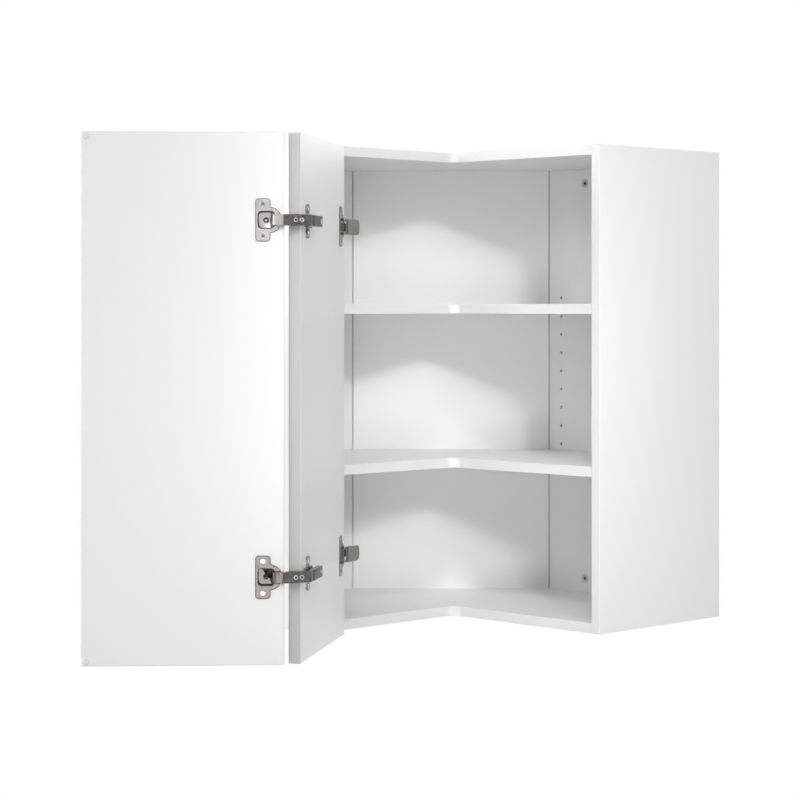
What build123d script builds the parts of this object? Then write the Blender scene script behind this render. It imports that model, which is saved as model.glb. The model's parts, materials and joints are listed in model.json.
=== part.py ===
from build123d import *
import os
from math import cos, hypot, radians, sin, sqrt

# Corner wall cabinet with a pair of folding doors, in millimetres.
# The origin is the room corner at the height of the cabinet's underside. One leg runs
# along the wall y = 0 towards +X, the other along the wall x = 0 towards -Y.

# Carcass
cabinet_height = 768.0
leg_length = 621.0          # along each wall, from the room corner
leg_depth = 307.0           # from the wall to the front edge of the boards
board = 16.0                # thickness of every carcass board
corner_cut = 262.0          # where each back board starts, measured from the room corner
diagonal_gap = 1.8          # open joint between the diagonal board and the ends of the back boards
front_corner_radius = 16.0
edge_bevel = 0.6

# Shelves and the hole rows that carry them
hole_pitch = 32.0
hole_radius = 2.5
hole_depth = 11.0
lowest_hole = 240.0         # and as far below the top as this for the highest
lower_shelf_hole = 0        # counted from the lowest hole
upper_shelf_hole_down = 1   # counted from the highest hole
row_setback = 37.0          # from the front edge, and from the back board
back_row_offset = 27.0      # from the start of the back board
pin_rise = 5.5              # underside of a shelf above the centre of its hole
pin_reach = 9.0             # how far a pin stands out of the panel
pin_collar_radius = 4.0
pin_collar = 1.5
pin_spoon = 1.5             # thickness of the flat under the shelf
pin_rib = 2.4
shelf_clearance = 0.8
shelf_setback = 1.0

# Connectors: cams in one board draw in bolts that stand in the other
cam_radius = 7.5
cam_depth = 12.5
cam_distance = 25.0         # from the end of the board to the centre of the cam
bolt_radius = 3.0
bolt_room = 0.5             # free space round a bolt in its channel and its cam
bolt_thread = 11.0          # length in the other board
dowel_radius = 4.0
dowel_short = 10.0
dowel_long = 20.0
back_cam_from_corner = 81.0     # from the start of the back board
back_cam_from_end = 35.0
end_cam_from_wall = 70.0
end_cam_from_front = 67.0
diagonal_dowel_spacing = 220.0
wall_screw_setbacks = (185.0, 65.0)     # from the inner face of the end panel
wall_screw_drop = 68.0                  # below the top
wall_screw_radius = 3.0

# Doors, as they lie when shut
door_drop = 4.0             # top of the doors below the top of the carcass
door_thickness = 18.0
door_gap = 4.0              # between the carcass front and the doors
fold_gap = 1.0              # between the two leaves in the shut corner
end_reveal = 0.5
door_round = 1.5
bumper_radius = 4.5
bumper_height = 1.5
bumper_bevel = 0.6
bumper_inset = 6.5

# How the doors open. Both poles are the points that the leaves turn about.
swing_pole_out = 20.16      # in front of the shut leaf's inner face
swing_pole_along = 8.96     # from its hinged edge
swing_angle = 145.4         # how far the doors stand open
fold_pole_back = 28.6       # behind the inner face of the hinged leaf
fold_pole_beyond = 14.2     # past its folding edge
fold_angle = 14.8

# Fittings that all four hinges share
hinge_height = 126.0        # from each end of a leaf to its hinge
cup_radius = 17.5
cup_depth = 12.0
cup_floor = 1.2
cup_edge = 4.5              # from the leaf's edge to the cup
cup_rim = 1.3
cup_plate = 1.0             # thickness
cup_plate_overlap = 2.1     # how far the face plate reaches back over the cup's centre
cup_plate_width = 21.8
cup_plate_height = 62.0
cup_plate_corner = 5.0
well_side_wall = 5.5        # from the cup's wall to the side of its open well
well_end_wall = 2.0
well_corner = 5.5
cup_dimple_radius = 3.2
cup_dimple = 0.6
cup_screw_beyond = 8.5      # past the cup's centre
cup_screw_spread = 23.0
cup_screw_radius = 2.0
plate_thickness = 2.5
plate_wing = 18.0
plate_height = 50.0
plate_corner = 6.0
plate_spine = 18.0
plate_spine_corner = 3.0
plate_screw_spread = 16.0
plate_screw_radius = 2.5
screw_depth = 11.0
screw_head = 1.3
screw_head_ratio = 1.9      # head radius over shank radius
arm_height = 15.8
sheet = 1.3                 # thickness of the arm's steel
fit = 0.3
pin_radius = 1.5
link_clearance = 0.2
arm_eye = 4.7               # radius round the pin at the arm's end
arm_screw_radius = 3.4
arm_screw_height = 1.6
arm_screw_depth = 0.6

# Hinge beside the end panel
swing_plate_place = 37.0    # from the panel's front edge
swing_plate_back = 26.0
swing_plate_front = 18.0
swing_arm_level = 21.5      # outer face of the arm above the panel
swing_arm_skirt = 13.0      # lower edge of its flanges
swing_arm_tail = 74.0
swing_arm_nose = 17.0
swing_arm_screws = (-61.0, -34.0)
crank_pin = (-6.0, 18.0)    # from the front inner edge of the end panel
crank_ratio = 0.75          # share of the door's turn
crank_half_width = 2.8
crank_eye = 4.5
elbow_ratio = 0.20
elbow_tip_beyond = 8.0      # past the cup's centre
elbow_tip_depth = 3.0       # below the leaf's inner face
elbow_height = 24.0
elbow_tip_height = 18.4
elbow_tip_run = 20.0        # length of the lower end that enters the cup
elbow_wall = 1.3
elbow_knee = 6.5
elbow_eye = 3.2
elbow_shoulder = 12.0       # from the knee to where the cheeks step out to their full height
elbow_corner = 4.5
shoulder_corner = 1.5

# Hinge between the leaves
fold_plate_place = 41.0     # from the folding edge
fold_plate_back = 26.0
fold_plate_front = 22.0
fold_arm_level = 16.5
fold_arm_skirt = 8.5
fold_arm_tail = 72.0
fold_arm_nose = (25.2, -18.6)   # past the folding edge, then out of the inner face
fold_arm_bend = (1.2, 15.3)
fold_arm_rise = (-15.0, -18.0)  # start and end of the ramp up to the arm's level
fold_slope_screws = (18.0, 27.5)    # along the sloping web from the nose
fold_tail_screw = -63.0
fold_pin = (9.66, -15.0)        # past the folding edge, then out of the inner face
fold_tip_beyond = 7.0           # past the centre of the folding leaf's cup
fold_tip_depth = 5.0            # below its inner face
fold_link_angle = 33.0
fold_link_eye = 3.4
fold_link_back = 11.2           # from the line between its pins to its back
fold_link_shoulder = 8.0        # from the pin to where the link widens to the arm's height
fold_link_ribs = (11.0, 14.5)   # grooves across its back
fold_rib_width = 1.6
fold_rib_depth = 0.7
fold_well_before = 7.6          # how far the well reaches back before the cup's centre

# Places worked out from the sizes above
inner_end = leg_length - board
door_height = cabinet_height - door_drop
door_back = leg_depth + door_gap
door_front = door_back + door_thickness
hinged_edge = leg_length - end_reveal
hinged_width = hinged_edge - door_back - fold_gap
folding_start = door_front + fold_gap
folding_width = hinged_edge - folding_start
diagonal_front = corner_cut + board
diagonal_rear = diagonal_front - board * sqrt(2)
holes_in_row = int((cabinet_height - 2 * lowest_hole) / hole_pitch) + 1
upper_shelf_hole = holes_in_row - 1 - upper_shelf_hole_down
hinge_levels = (hinge_height, door_height - hinge_height)
cup_centre = cup_edge + cup_radius      # from the leaf's edge
cup_screw_place = cup_centre + cup_screw_beyond
well_height = 2 * (cup_radius - well_side_wall)
well_end = cup_centre + cup_radius - well_end_wall
swing_well_start = cup_edge + well_end_wall
fold_well_start = cup_centre - fold_well_before
elbow_tip = (cup_centre + elbow_tip_beyond, -elbow_tip_depth)
elbow_inner = arm_height / 2 + fit
elbow_knee_half = elbow_inner + elbow_wall
fold_link_tip = (cup_centre + fold_tip_beyond, -fold_tip_depth)
swing_pole = (door_back + swing_pole_out, swing_pole_along - hinged_edge)
fold_pole = (door_back - fold_pole_back, fold_pole_beyond - door_back - fold_gap)
link_half = arm_height / 2 - sheet - fit
well_reach = well_height / 2 - fit


def block(x0, x1, y0, y1, z0, z1):
    centre = Pos((x0 + x1) / 2, (y0 + y1) / 2, (z0 + z1) / 2)
    return centre * Box(abs(x1 - x0), abs(y1 - y0), abs(z1 - z0))


def prism(points, z0, z1):
    face = make_face(Polyline(*points, close=True))
    return Pos(0, 0, z0) * extrude(face, amount=z1 - z0, dir=(0, 0, 1))


def post(x, y, radius, z0, z1):
    return Pos(x, y, (z0 + z1) / 2) * Cylinder(radius, z1 - z0)


def rod(start, direction, radius, length):
    return Plane(origin=start, z_dir=direction) * Pos(0, 0, length / 2) * Cylinder(radius, length)


def turned(vector, angle):
    c, s = cos(radians(angle)), sin(radians(angle))
    return (vector[0] * c - vector[1] * s, vector[0] * s + vector[1] * c)


def turn_about(point, angle):
    return Pos(*point) * Rot(0, 0, angle) * Pos(-point[0], -point[1])


# Carcass boards

def corner_board(front, rear, cut, end, z0):
    points = [(end, -front), (end, -rear), (cut - rear, -rear), (rear, rear - cut),
              (rear, -end), (front, -end), (front, -front)]
    solid = prism(points, z0, z0 + board)
    upright = solid.edges().filter_by(Axis.Z).sort_by_distance((front, -front, z0))[0]
    solid = fillet(upright, front_corner_radius)
    reach = front + front_corner_radius
    nose = [e for e in solid.edges().filter_by(Axis.Z, reverse=True)
            if (abs(e.center().Y + front) < 0.01 or abs(e.center().X - front) < 0.01
                or (front < e.center().X < reach and -reach < e.center().Y < -front))]
    return chamfer(nose, edge_bevel)


def diagonal_board():
    """A board across the corner. Its mitred ends face the ends of the back boards."""
    end = corner_cut - diagonal_gap
    reach = diagonal_front - end
    points = [(end, -reach), (end, 0), (diagonal_rear, 0), (0, -diagonal_rear), (0, -end), (reach, -end)]
    return prism(points, board, cabinet_height - board)


def row_heights():
    return [lowest_hole + hole_pitch * i for i in range(holes_in_row)]


def end_rows():
    return (leg_depth - row_setback, board + row_setback)


def shelf_hole_cutters():
    """Hole rows of the leg along y = 0: two in the end panel and one in the back board."""
    panel, back = [], []
    for z in row_heights():
        for y in end_rows():
            panel.append(rod((inner_end, -y, z), (1, 0, 0), hole_radius, hole_depth))
        back.append(rod((corner_cut + back_row_offset, -board, z), (0, 1, 0), hole_radius, hole_depth))
    return panel, back


def connector(origin, along, outward):
    """A bolt and its cam. The cam's board runs along from origin, its cam face looks outward."""
    frame = Plane(origin=origin, x_dir=along, z_dir=outward)
    head = board / 2
    wide = bolt_radius + bolt_room
    pocket = post(cam_distance, 0, cam_radius, head - cam_depth, head)
    bore = rod((cam_distance - cam_radius, 0, 0), (1, 0, 0), wide, cam_radius + wide)
    bolt = rod((-bolt_thread, 0, 0), (1, 0, 0), bolt_radius, bolt_thread + cam_distance)
    thread = rod((-bolt_thread, 0, 0), (1, 0, 0), bolt_radius, bolt_thread)
    channel = rod((0, 0, 0), (1, 0, 0), wide, cam_distance)
    return [frame * shape for shape in (pocket - bore, bolt, thread, pocket + channel)]


def back_connectors():
    """Cams in the back board of the leg along y = 0: upper pair, then lower pair."""
    sets = []
    for z, up in ((cabinet_height - board, -1), (board, 1)):
        for x in (corner_cut + back_cam_from_corner, inner_end - back_cam_from_end):
            sets.append(connector((x, -board / 2, z), (0, 0, up), (0, -1, 0)))
    return sets


def end_cam_places():
    return (end_cam_from_wall, leg_depth - end_cam_from_front)


def end_connectors():
    """Cams in the ends of the top and bottom: top pair, then bottom pair."""
    sets = []
    for z, face in ((cabinet_height - board / 2, 1), (board / 2, -1)):
        for y in end_cam_places():
            sets.append(connector((inner_end, -y, z), (-1, 0, 0), (0, 0, face)))
    return sets


def end_dowels():
    """One dowel midway between each pair of cams."""
    y = -sum(end_cam_places()) / 2
    length = dowel_short + dowel_long
    return [rod((inner_end + dowel_short, y, z), (-1, 0, 0), dowel_radius, length)
            for z in (cabinet_height - board / 2, board / 2)]


def diagonal_dowels():
    middle = (diagonal_front + diagonal_rear) / 4
    shift = diagonal_dowel_spacing / 2 * sqrt(0.5)
    dowels = []
    for z, up in ((cabinet_height - board + dowel_short, -1), (board - dowel_short, 1)):
        for side in (-1, 1):
            place = (middle + side * shift, -middle + side * shift, z)
            dowels.append(rod(place, (0, 0, up), dowel_radius, dowel_short + dowel_long))
    return dowels


def across(solid):
    """The same solid on the other leg, mirrored in the cabinet's diagonal."""
    return mirror(solid, Plane(origin=(0, 0, 0), z_dir=(1, 1, 0)))


def carcass():
    nodes = {}
    panel_holes, back_holes = shelf_hole_cutters()
    backs, ends = back_connectors(), end_connectors()
    end_pegs, corner_pegs = end_dowels(), diagonal_dowels()

    panel = block(inner_end, leg_length, -leg_depth, 0, 0, cabinet_height)
    panel = chamfer(panel.edges(), edge_bevel)
    panel = panel.cut(*panel_holes, *[s[2] for s in ends], *end_pegs)
    nodes["right_end_panel"] = panel
    screw_holes = [panel_frame() * Pos(0, 0, z) * hole for z in hinge_levels
                   for hole in plate_cutters(swing_plate_place)]
    nodes["left_end_panel"] = across(panel).cut(*screw_holes)

    back = block(corner_cut, inner_end, -board, 0, board, cabinet_height - board)
    screws = [rod((inner_end - x, 0, cabinet_height - wall_screw_drop), (0, -1, 0), wall_screw_radius, board)
              for x in wall_screw_setbacks]
    back = back.cut(*back_holes, *[s[3] for s in backs], *screws)
    nodes["right_back_board"] = back
    nodes["left_back_board"] = across(back)
    nodes["diagonal_back_board"] = diagonal_board().cut(*corner_pegs)

    top = corner_board(leg_depth, 0, diagonal_rear, inner_end, cabinet_height - board)
    bottom = corner_board(leg_depth, 0, diagonal_rear, inner_end, 0)
    both_ends = [s[3] for s in ends] + end_pegs
    threads = [s[2] for s in backs]
    cutters = both_ends + threads
    cutters += [across(c) for c in cutters] + corner_pegs
    upper = [c for c in cutters if c.center().Z > cabinet_height / 2]
    lower = [c for c in cutters if c.center().Z < cabinet_height / 2]
    nodes["top_board"] = top.cut(*upper)
    nodes["bottom_board"] = bottom.cut(*lower)

    cams = [s[0] for s in backs] + [across(s[0]) for s in backs]
    bolts = [s[1] for s in backs] + [across(s[1]) for s in backs]
    nodes["back_board_cams"] = cams
    nodes["back_board_bolts"] = bolts
    nodes["end_panel_cams"] = [s[0] for s in ends] + [across(s[0]) for s in ends]
    nodes["end_panel_bolts"] = [s[1] for s in ends] + [across(s[1]) for s in ends]
    nodes["end_panel_dowels"] = end_pegs + [across(p) for p in end_pegs]
    nodes["diagonal_board_dowels"] = corner_pegs
    return nodes


# Shelves

def shelf(hole):
    level = lowest_hole + hole_pitch * hole + pin_rise
    rear = board + shelf_clearance
    cut_line = diagonal_front + shelf_clearance * sqrt(2)
    return corner_board(leg_depth - shelf_setback, rear, cut_line, inner_end - shelf_clearance, level)


def shelf_pin(place, inward):
    """A turned pin: its shank in the hole, its collar on the panel, a flat spoon under the shelf."""
    frame = Plane(origin=place, x_dir=inward, z_dir=(0, 0, 1))
    shank = rod((-hole_depth + 1, 0, 0), (1, 0, 0), hole_radius, hole_depth - 1)
    collar = rod((0, 0, 0), (1, 0, 0), pin_collar_radius, pin_collar)
    spoon = block(0, pin_reach, -pin_collar_radius, pin_collar_radius, pin_rise - pin_spoon, pin_rise)
    rib = block(0, pin_reach - 1, -pin_rib / 2, pin_rib / 2, -1, pin_rise)
    return frame * (shank + collar + spoon + rib)


def shelf_pins(hole):
    z = lowest_hole + hole_pitch * hole
    pins = [shelf_pin((inner_end, -y, z), (-1, 0, 0)) for y in end_rows()]
    pins.append(shelf_pin((corner_cut + back_row_offset, -board, z), (0, -1, 0)))
    return pins + [across(pin) for pin in pins]


# Hinges. Each is drawn at level 0 in a frame on its leaf or panel: first along the board
# towards or from the edge, then out of the board's inner face, then up.

def strip(points, thickness):
    """A bent strip of sheet: the line's left side is the sheet's inner side."""
    inner = []
    for i, (x, y) in enumerate(points):
        before = points[max(i - 1, 0)]
        after = points[min(i + 1, len(points) - 1)]
        normals = []
        for p, q in ((before, (x, y)), ((x, y), after)):
            length = hypot(q[0] - p[0], q[1] - p[1])
            if length > 0:
                normals.append(((p[1] - q[1]) / length, (q[0] - p[0]) / length))
        nx = sum(n[0] for n in normals)
        ny = sum(n[1] for n in normals)
        scale = thickness * len(normals) / (nx * nx + ny * ny)
        inner.append((x + nx * scale, y + ny * scale))
    return list(points) + inner[::-1]


def channel(web, edge, pin):
    """An arm of bent sheet: a web along one line, two flanges to another line, and eyes for its pin."""
    half = arm_height / 2
    solid = prism(strip(web, sheet), -half, half)
    for z in (-half, half - sheet):
        solid += prism(list(web) + list(edge), z, z + sheet)
        solid += post(pin[0], pin[1], arm_eye, z, z + sheet)
    return solid - post(pin[0], pin[1], pin_radius, -half, half)


def hinge_cup(well_start):
    """A cup pressed into the leaf, with its face plate and the open well for the link."""
    start = cup_centre - cup_plate_overlap
    bottom = cup_floor - cup_depth
    rim = rod((cup_centre, 0, 0), (0, 1, 0), cup_radius + cup_rim, cup_plate)
    plate = block(start, start + cup_plate_width, 0, cup_plate, -cup_plate_height / 2, cup_plate_height / 2)
    plate = fillet(plate.edges().filter_by(Axis.Y), cup_plate_corner)
    well = block(well_start, well_end, bottom, 2 * cup_plate, -well_height / 2, well_height / 2)
    well = fillet(well.edges().filter_by(Axis.Y), well_corner)
    dimple = rod(((well_start + well_end) / 2, bottom, 0), (0, 1, 0), cup_dimple_radius, cup_dimple)
    return (cup_hole() + rim + plate - well + dimple).cut(*leaf_cutters()[1:])


def cup_hole():
    return rod((cup_centre, 0, 0), (0, -1, 0), cup_radius, cup_depth)


def mounting_plate(place, back, front, arm_level):
    """A cross-shaped plate: wings with the screws, and a ridge that the arm sits on."""
    wings = block(-place - plate_wing / 2, -place + plate_wing / 2, 0, plate_thickness,
                  -plate_height / 2, plate_height / 2)
    wings = fillet(wings.edges().filter_by(Axis.Y), plate_corner)
    spine = block(-place - back, -place + front, 0, plate_thickness, -plate_spine / 2, plate_spine / 2)
    spine = fillet(spine.edges().filter_by(Axis.Y), plate_spine_corner)
    ridge = arm_level - sheet - fit
    rail = block(-place - back + sheet, -place + front - sheet, 0, ridge, -link_half, link_half)
    return (wings + spine + rail).cut(*plate_cutters(place))


def screw_shanks(place, spread, radius, seat):
    """The shanks of a pair of screws from their seat, which also cut the holes that hold them."""
    return [rod((place, seat, z), (0, -1, 0), radius, screw_depth + seat) for z in (-spread, spread)]


def screw_pair(place, spread, radius, seat):
    """Two screws with their heads on a plate whose face is at seat."""
    heads = [rod((place, seat, z), (0, 1, 0), radius * screw_head_ratio, screw_head)
             for z in (-spread, spread)]
    return [shank + head for shank, head in zip(screw_shanks(place, spread, radius, seat), heads)]


def cup_screws():
    return screw_pair(cup_screw_place, cup_screw_spread, cup_screw_radius, cup_plate)


def plate_screws(place):
    return screw_pair(-place, plate_screw_spread, plate_screw_radius, plate_thickness)


def leaf_cutters():
    """The bore for the cup, and the holes for the screws beside it."""
    return [cup_hole()] + screw_shanks(cup_screw_place, cup_screw_spread, cup_screw_radius, cup_plate)


def plate_cutters(place):
    return screw_shanks(-place, plate_screw_spread, plate_screw_radius, plate_thickness)


def arm_screw(x, y, outward=(0, 1)):
    """A screw standing in an arm's web, whose outer face passes through x, y."""
    start = (x - outward[0] * arm_screw_depth, y - outward[1] * arm_screw_depth, 0)
    return rod(start, (*outward, 0), arm_screw_radius, arm_screw_height)


# The hinge beside the end panel: its arm carries a crank, the crank carries an elbow,
# and the elbow's tip runs in the cup.

def panel_frame():
    return Pos(leg_depth, -inner_end, 0)


def hinged_leaf_frame(level):
    return Pos(door_back, -hinged_edge, level) * Rot(0, 0, 90)


def knee_place():
    """Where the two links meet while the doors are shut."""
    start = (crank_pin[0] + leg_depth, crank_pin[1] - inner_end)
    tip = (door_back - elbow_tip[1], elbow_tip[0] - hinged_edge)
    open_tip = turned((tip[0] - swing_pole[0], tip[1] - swing_pole[1]), -swing_angle)
    open_tip = (open_tip[0] + swing_pole[0], open_tip[1] + swing_pole[1])
    shut = complex(tip[0] - start[0], tip[1] - start[1])
    opened = complex(open_tip[0] - start[0], open_tip[1] - start[1])
    crank_turn = complex(*turned((1, 0), -swing_angle * crank_ratio))
    elbow_turn = complex(*turned((1, 0), -swing_angle * elbow_ratio))
    crank = (opened - elbow_turn * shut) / (crank_turn - elbow_turn)
    return (crank_pin[0] + crank.real, crank_pin[1] + crank.imag)


def tip_place():
    """Where the elbow's tip lies in the cup while the doors are shut."""
    return (door_back - elbow_tip[1] - leg_depth, elbow_tip[0] - hinged_edge + inner_end)


def elbow_pins():
    """One pin through the knee, and a longer one at the tip that runs in the cup's well."""
    knee, tip = knee_place(), tip_place()
    return [post(knee[0], knee[1], pin_radius, -elbow_knee_half, elbow_knee_half),
            post(tip[0], tip[1], pin_radius, -well_reach, well_reach)]


def crank():
    """A flat bar with a round eye and a bore at each end."""
    knee = knee_place()
    along = Vector(knee[0] - crank_pin[0], knee[1] - crank_pin[1])
    bar = block(0, along.length, -crank_half_width, crank_half_width, -link_half, link_half)
    for x in (0, along.length):
        bar += post(x, 0, crank_eye, -link_half, link_half)
    for x in (0, along.length):
        bar -= post(x, 0, pin_radius + link_clearance, -link_half, link_half)
    return Plane(origin=(crank_pin[0], crank_pin[1], 0), x_dir=along, z_dir=(0, 0, 1)) * bar


def elbow_outline(length):
    """The elbow seen from its back: a narrow rounded end at the knee, then full height."""
    deep = elbow_knee + elbow_wall
    end = block(-elbow_knee, elbow_shoulder, -deep, deep, -elbow_knee_half, elbow_knee_half)
    end = fillet(end.edges().filter_by(Axis.Y).group_by(Axis.X)[0], elbow_corner)
    rest = block(elbow_shoulder, length + elbow_eye, -deep, deep, -elbow_height / 2, elbow_height / 2)
    return end + fillet(rest.edges().filter_by(Axis.Y).group_by(Axis.X)[0], shoulder_corner)


def elbow():
    """Two curved cheeks outside the crank, joined by a back that wraps round the knee."""
    knee, tip = knee_place(), tip_place()
    along = Vector(tip[0] - knee[0], tip[1] - knee[1])
    length = along.length
    low_start = length - elbow_tip_run
    inner, outer, low = elbow_inner, elbow_height / 2, elbow_tip_height / 2
    back = [(0, elbow_knee), (8, elbow_knee), (low_start, 4.6)]
    belly = [(low_start, 1.8), (22, 1.2), (13, 0), (6, -4), (0, -5.5)]
    end = [(low_start, 0), (low_start, 4.6), (length - 9, 2.4), (length - 3, 2.2), (length, elbow_eye),
           (length, -elbow_eye), (length - 6, -elbow_eye), (length - 13, 0)]
    shape = prism(strip(back[::-1], elbow_wall), -outer, outer)
    ring = post(0, 0, elbow_knee, -outer, outer) - post(0, 0, elbow_knee - elbow_wall, -outer, outer)
    shape += ring & block(-elbow_knee, 0, -elbow_wall, elbow_knee, -outer, outer)
    for side in (-1, 1):
        shape += prism(back + belly, *sorted((side * inner, side * outer)))
        shape += post(0, 0, elbow_knee, *sorted((side * inner, side * outer)))
        shape += prism(end, *sorted((side * inner, side * low)))
    shape += post(length, 0, elbow_eye, -low, low)
    shape &= elbow_outline(length)
    for x in (0, length):
        shape -= post(x, 0, pin_radius, -outer, outer)
    return Plane(origin=(knee[0], knee[1], 0), x_dir=along, z_dir=(0, 0, 1)) * shape


def swing_arm():
    web = [(-swing_arm_nose, swing_arm_level), (-swing_arm_tail, swing_arm_level)]
    edge = [(-swing_arm_tail, swing_arm_skirt), (crank_pin[0], crank_pin[1] - arm_eye),
            (crank_pin[0], crank_pin[1] + arm_eye)]
    return channel(web, edge, crank_pin).cut(*swing_screws())


def swing_screws():
    return [arm_screw(x, swing_arm_level) for x in swing_arm_screws]


def swing_hinge(level):
    """The pieces of one hinge beside the end panel, doors shut, by the body they move with."""
    panel = panel_frame() * Pos(0, 0, level)
    leaf = hinged_leaf_frame(level)
    half = arm_height / 2
    plate = mounting_plate(swing_plate_place, swing_plate_back, swing_plate_front, swing_arm_level)
    return {
        "mounting_plate": [panel * plate],
        "plate_screws": [panel * s for s in plate_screws(swing_plate_place)],
        "arm": [panel * swing_arm()],
        "arm_screws": [panel * s for s in swing_screws()],
        "crank_pin": [panel * post(crank_pin[0], crank_pin[1], pin_radius, -half, half)],
        "crank": [panel * crank()],
        "elbow": [panel * elbow()],
        "elbow_pins": [panel * pin for pin in elbow_pins()],
        "cup": [leaf * hinge_cup(swing_well_start)],
        "cup_screws": [leaf * s for s in cup_screws()],
    }


# The hinge between the leaves: its arm bends round the folding edge of the hinged leaf.

def fold_frame(level):
    return Pos(door_back, -door_back - fold_gap, level) * Rot(0, 0, 90)


def folding_leaf_frame(level):
    return Pos(folding_start, -door_back, level)


def fold_arm():
    """A web that slopes from its nose up round the folding edge, dips and then runs level."""
    start, end = fold_arm_rise
    web = [fold_arm_nose, fold_arm_bend, (start, fold_arm_bend[1]), (end, fold_arm_level),
           (-fold_arm_tail, fold_arm_level)]
    edge = [(-fold_arm_tail, fold_arm_skirt), (-12, fold_arm_skirt), (-3, 6), (3.5, 0.5),
            (fold_pin[0] - arm_eye, fold_pin[1])]
    return channel(web, edge, fold_pin).cut(*fold_screws())


def fold_screws():
    """Two adjusting screws on the sloping web and the clamping screw at the tail."""
    slope = Vector(fold_arm_bend[0] - fold_arm_nose[0], fold_arm_bend[1] - fold_arm_nose[1]).normalized()
    screws = [arm_screw(fold_arm_nose[0] + slope.X * t, fold_arm_nose[1] + slope.Y * t, (slope.Y, -slope.X))
              for t in fold_slope_screws]
    return screws + [arm_screw(fold_tail_screw, fold_arm_level)]


def fold_link():
    """A goose-necked link from the arm's pin over the folding leaf's edge, and its tip pin in the cup."""
    beyond = fold_gap + fold_link_tip[1]
    inward = -(door_thickness + fold_gap + fold_link_tip[0])
    along = Vector(beyond - fold_pin[0], inward - fold_pin[1])
    length = along.length
    outer = [(-fold_link_eye, 0), (-2.6, 6), (1.5, 10.2), (8, fold_link_back),
             (length - 17.2, fold_link_back), (length - 8.2, 7), (length + 2, 3)]
    inner = [(length - 2.5, -1.5), (length - 11.2, 3.6), (length - 17.7, 7), (8, 7.4),
             (4.2, 5.6), (fold_link_eye, 2)]
    link = prism(outer + inner, -link_half, link_half)
    wide = prism(outer + inner, -arm_height / 2, arm_height / 2)
    link += wide & block(fold_link_shoulder, length + fold_link_eye, 0, length, -arm_height, arm_height)
    for x in fold_link_ribs:
        link -= block(x, x + fold_rib_width, fold_link_back - fold_rib_depth, length, -arm_height, arm_height)
    for x in (0, length):
        link += post(x, 0, fold_link_eye, -link_half, link_half)
    link -= post(0, 0, pin_radius + link_clearance, -link_half, link_half)
    link -= post(length, 0, pin_radius, -arm_height, arm_height)
    pin = post(length, 0, pin_radius, -well_reach, well_reach)
    frame = Plane(origin=(fold_pin[0], fold_pin[1], 0), x_dir=along, z_dir=(0, 0, 1))
    return frame * link, frame * pin


def fold_hinge(level):
    """The pieces of one hinge between the leaves, doors shut, by the body they move with."""
    hinged = fold_frame(level)
    folding = folding_leaf_frame(level)
    half = arm_height / 2
    link, tip_pin = fold_link()
    plate = mounting_plate(fold_plate_place, fold_plate_back, fold_plate_front, fold_arm_level)
    return {
        "mounting_plate": [hinged * plate],
        "plate_screws": [hinged * s for s in plate_screws(fold_plate_place)],
        "arm": [hinged * fold_arm()],
        "arm_screws": [hinged * s for s in fold_screws()],
        "pin": [hinged * post(fold_pin[0], fold_pin[1], pin_radius, -half, half)],
        "link": [hinged * link],
        "tip_pin": [hinged * tip_pin],
        "cup": [folding * hinge_cup(fold_well_start)],
        "cup_screws": [folding * s for s in cup_screws()],
    }


# Doors

def leaf(width):
    solid = block(0, width, -door_thickness, 0, 0, door_height)
    return fillet(solid.edges(), door_round)


def hinged_leaf():
    cutters = []
    for z in hinge_levels:
        cutters += [hinged_leaf_frame(z) * c for c in leaf_cutters()]
        cutters += [fold_frame(z) * c for c in plate_cutters(fold_plate_place)]
    return (hinged_leaf_frame(0) * leaf(hinged_width)).cut(*cutters)


def folding_leaf():
    cutters = [folding_leaf_frame(z) * c for z in hinge_levels for c in leaf_cutters()]
    return (folding_leaf_frame(0) * leaf(folding_width)).cut(*cutters)


def bumpers():
    pads = []
    for z in (bumper_inset, door_height - bumper_inset):
        pad = rod((folding_width - bumper_inset, 0, z), (0, 1, 0), bumper_radius, bumper_height)
        pads.append(folding_leaf_frame(0) * chamfer(pad.edges().sort_by(Axis.Y)[-1], bumper_bevel))
    return pads


# Opening the doors to where they stand

def with_hinged_leaf(shapes):
    return [turn_about(swing_pole, -swing_angle) * s for s in shapes]


def with_folding_leaf(shapes):
    return with_hinged_leaf([turn_about(fold_pole, fold_angle) * s for s in shapes])


def with_crank(shapes):
    pin = (leg_depth + crank_pin[0], crank_pin[1] - inner_end)
    return [turn_about(pin, -swing_angle * crank_ratio) * s for s in shapes]


def with_elbow(shapes):
    pin = (leg_depth + crank_pin[0], crank_pin[1] - inner_end)
    knee = (leg_depth + knee_place()[0], knee_place()[1] - inner_end)
    swung = turned((knee[0] - pin[0], knee[1] - pin[1]), -swing_angle * crank_ratio)
    shift = Pos(pin[0] + swung[0] - knee[0], pin[1] + swung[1] - knee[1])
    return [shift * turn_about(knee, -swing_angle * elbow_ratio) * s for s in shapes]


def with_fold_link(shapes):
    pin = (door_back - fold_pin[1], fold_pin[0] - door_back - fold_gap)
    return with_hinged_leaf([turn_about(pin, fold_link_angle) * s for s in shapes])


def stay(shapes):
    return shapes


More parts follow.
